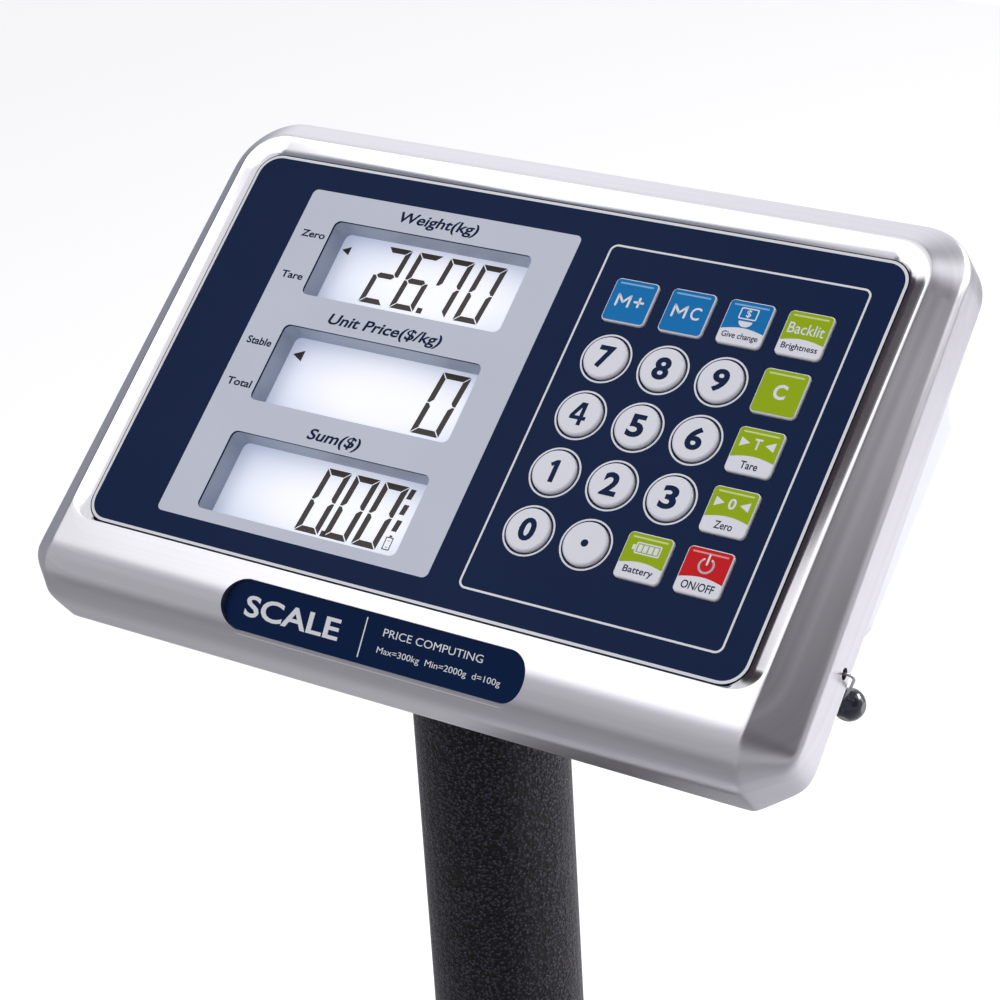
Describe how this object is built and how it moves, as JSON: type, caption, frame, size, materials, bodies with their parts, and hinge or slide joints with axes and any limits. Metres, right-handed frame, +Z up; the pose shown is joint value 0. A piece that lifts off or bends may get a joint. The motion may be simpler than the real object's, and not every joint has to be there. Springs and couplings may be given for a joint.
{
  "type": "retail price scale",
  "caption": "Column price scale: tilted stainless head with three displays and a keypad, round black column, and a stainless weighing platform on a load cell.",
  "frame": {"origin": "on the floor, under the centre of the bounding box", "axes": "+Z up, +X to the operator's right, -Y towards the operator"},
  "size_m": [0.4, 0.6416, 0.8025],
  "materials": {
    "stainless": "brushed, lightly polished along the edges",
    "navy_film": "printed polyester film, satin",
    "dark_plastic": "moulded, matt",
    "silicone": "moulded silicone",
    "circuit_board": "solder mask",
    "lcd_glass": "polarised glass, lit from behind",
    "diffuser": "light guide",
    "white_plastic": "fine moulded grain",
    "plated_steel": "zinc plated",
    "battery_case": "moulded case",
    "tinted_window": "tinted clear plastic",
    "seal_plastic": "moulded seal body",
    "hammer_paint": "black hammered paint",
    "cell_aluminium": "machined",
    "foot_rubber": "moulded rubber",
    "knob_plastic": "moulded, matt",
    "key_light": "satin cap",
    "key_blue": "printed cap, glossy",
    "key_green": "printed cap, glossy",
    "key_red": "printed cap, glossy"
  },
  "bodies": {
    "base": {"column_tube": "hammer_paint", "column_cap": "dark_plastic", "column_foot": "hammer_paint", "foot_bolts": "plated_steel", "column_bracket": "hammer_paint", "base_side_rails": "hammer_paint", "base_cross_rails": "hammer_paint", "load_cell": "cell_aluminium", "cell_spacers": "plated_steel", "cell_bolts": "plated_steel", "platform_frame": "hammer_paint", "overload_stops": "plated_steel", "tray_cushions": "foot_rubber", "foot_nuts": "plated_steel"},
    "head": {"front_shell": "stainless", "keypad_overlay": "navy_film", "panel_carrier": "dark_plastic", "key_mat": "silicone", "keypad_board": "circuit_board", "lcd_panels": "lcd_glass", "lcd_backlights": "diffuser", "display_board": "circuit_board", "badge_plate": "navy_film", "back_cover": "white_plastic", "cover_screws": "plated_steel", "main_board": "circuit_board", "battery": "battery_case", "charge_socket": "dark_plastic", "rear_window": "tinted_window", "rear_lcd": "lcd_glass", "seal_wire": "plated_steel", "seal_bead": "seal_plastic", "head_socket": "hammer_paint", "socket_screws": "plated_steel"},
    "key_seven": {"key_seven": "key_light"},
    "key_eight": {"key_eight": "key_light"},
    "key_nine": {"key_nine": "key_light"},
    "key_four": {"key_four": "key_light"},
    "key_five": {"key_five": "key_light"},
    "key_six": {"key_six": "key_light"},
    "key_one": {"key_one": "key_light"},
    "key_two": {"key_two": "key_light"},
    "key_three": {"key_three": "key_light"},
    "key_zero": {"key_zero": "key_light"},
    "key_point": {"key_point": "key_light"},
    "key_memory_add": {"key_memory_add": "key_blue"},
    "key_memory_clear": {"key_memory_clear": "key_blue"},
    "key_give_change": {"key_give_change": "key_blue"},
    "key_backlight": {"key_backlight": "key_green"},
    "key_clear": {"key_clear": "key_green"},
    "key_tare": {"key_tare": "key_green"},
    "key_set_zero": {"key_set_zero": "key_green"},
    "key_battery_state": {"key_battery_state": "key_green"},
    "key_on_off": {"key_on_off": "key_red"},
    "lock_knob": {"lock_knob": "knob_plastic"},
    "tray": {"platform_tray": "stainless"},
    "foot_left_front": {"foot_left_front": "foot_rubber"},
    "foot_left_rear": {"foot_left_rear": "foot_rubber"},
    "foot_right_front": {"foot_right_front": "foot_rubber"},
    "foot_right_rear": {"foot_right_rear": "foot_rubber"}
  },
  "joints": [
    {"name": "head_swivel", "type": "hinge", "parent": "base", "child": "head", "pos_m": [0, 0.23276, 0.69], "axis": [0, 0, 1], "range_deg": [-90, 90]},
    {"name": "key_seven_press", "type": "slide", "parent": "head", "child": "key_seven", "axis": [0, 0.6225, -0.7826], "range_m": [0, 0.0008], "stiffness_N_per_m": 2500, "springref_m": -0.0004},
    {"name": "key_eight_press", "type": "slide", "parent": "head", "child": "key_eight", "axis": [0, 0.6225, -0.7826], "range_m": [0, 0.0008], "stiffness_N_per_m": 2500, "springref_m": -0.0004},
    {"name": "key_nine_press", "type": "slide", "parent": "head", "child": "key_nine", "axis": [0, 0.6225, -0.7826], "range_m": [0, 0.0008], "stiffness_N_per_m": 2500, "springref_m": -0.0004},
    {"name": "key_four_press", "type": "slide", "parent": "head", "child": "key_four", "axis": [0, 0.6225, -0.7826], "range_m": [0, 0.0008], "stiffness_N_per_m": 2500, "springref_m": -0.0004},
    {"name": "key_five_press", "type": "slide", "parent": "head", "child": "key_five", "axis": [0, 0.6225, -0.7826], "range_m": [0, 0.0008], "stiffness_N_per_m": 2500, "springref_m": -0.0004},
    {"name": "key_six_press", "type": "slide", "parent": "head", "child": "key_six", "axis": [0, 0.6225, -0.7826], "range_m": [0, 0.0008], "stiffness_N_per_m": 2500, "springref_m": -0.0004},
    {"name": "key_one_press", "type": "slide", "parent": "head", "child": "key_one", "axis": [0, 0.6225, -0.7826], "range_m": [0, 0.0008], "stiffness_N_per_m": 2500, "springref_m": -0.0004},
    {"name": "key_two_press", "type": "slide", "parent": "head", "child": "key_two", "axis": [0, 0.6225, -0.7826], "range_m": [0, 0.0008], "stiffness_N_per_m": 2500, "springref_m": -0.0004},
    {"name": "key_three_press", "type": "slide", "parent": "head", "child": "key_three", "axis": [0, 0.6225, -0.7826], "range_m": [0, 0.0008], "stiffness_N_per_m": 2500, "springref_m": -0.0004},
    {"name": "key_zero_press", "type": "slide", "parent": "head", "child": "key_zero", "axis": [0, 0.6225, -0.7826], "range_m": [0, 0.0008], "stiffness_N_per_m": 2500, "springref_m": -0.0004},
    {"name": "key_point_press", "type": "slide", "parent": "head", "child": "key_point", "axis": [0, 0.6225, -0.7826], "range_m": [0, 0.0008], "stiffness_N_per_m": 2500, "springref_m": -0.0004},
    {"name": "key_memory_add_press", "type": "slide", "parent": "head", "child": "key_memory_add", "axis": [0, 0.6225, -0.7826], "range_m": [0, 0.0008], "stiffness_N_per_m": 2500, "springref_m": -0.0004},
    {"name": "key_memory_clear_press", "type": "slide", "parent": "head", "child": "key_memory_clear", "axis": [0, 0.6225, -0.7826], "range_m": [0, 0.0008], "stiffness_N_per_m": 2500, "springref_m": -0.0004},
    {"name": "key_give_change_press", "type": "slide", "parent": "head", "child": "key_give_change", "axis": [0, 0.6225, -0.7826], "range_m": [0, 0.0008], "stiffness_N_per_m": 2500, "springref_m": -0.0004},
    {"name": "key_backlight_press", "type": "slide", "parent": "head", "child": "key_backlight", "axis": [0, 0.6225, -0.7826], "range_m": [0, 0.0008], "stiffness_N_per_m": 2500, "springref_m": -0.0004},
    {"name": "key_clear_press", "type": "slide", "parent": "head", "child": "key_clear", "axis": [0, 0.6225, -0.7826], "range_m": [0, 0.0008], "stiffness_N_per_m": 2500, "springref_m": -0.0004},
    {"name": "key_tare_press", "type": "slide", "parent": "head", "child": "key_tare", "axis": [0, 0.6225, -0.7826], "range_m": [0, 0.0008], "stiffness_N_per_m": 2500, "springref_m": -0.0004},
    {"name": "key_set_zero_press", "type": "slide", "parent": "head", "child": "key_set_zero", "axis": [0, 0.6225, -0.7826], "range_m": [0, 0.0008], "stiffness_N_per_m": 2500, "springref_m": -0.0004},
    {"name": "key_battery_state_press", "type": "slide", "parent": "head", "child": "key_battery_state", "axis": [0, 0.6225, -0.7826], "range_m": [0, 0.0008], "stiffness_N_per_m": 2500, "springref_m": -0.0004},
    {"name": "key_on_off_press", "type": "slide", "parent": "head", "child": "key_on_off", "axis": [0, 0.6225, -0.7826], "range_m": [0, 0.0008], "stiffness_N_per_m": 2500, "springref_m": -0.0004},
    {"name": "lock_knob_turn", "type": "hinge", "parent": "head", "child": "lock_knob", "pos_m": [0, 0.25676, 0.679], "axis": [0, 1, 0], "range_deg": [0, 270]},
    {"name": "tray_lift", "type": "slide", "parent": "base", "child": "tray", "axis": [0, 0, 1], "range_m": [0, 0.12]},
    {"name": "foot_left_front_turn", "type": "hinge", "parent": "base", "child": "foot_left_front", "pos_m": [-0.165, -0.26824, 0], "axis": [0, 0, 1], "continuous": true},
    {"name": "foot_left_rear_turn", "type": "hinge", "parent": "base", "child": "foot_left_rear", "pos_m": [-0.165, 0.10276, 0], "axis": [0, 0, 1], "continuous": true},
    {"name": "foot_right_front_turn", "type": "hinge", "parent": "base", "child": "foot_right_front", "pos_m": [0.165, -0.26824, 0], "axis": [0, 0, 1], "continuous": true},
    {"name": "foot_right_rear_turn", "type": "hinge", "parent": "base", "child": "foot_right_rear", "pos_m": [0.165, 0.10276, 0], "axis": [0, 0, 1], "continuous": true}
  ]
}
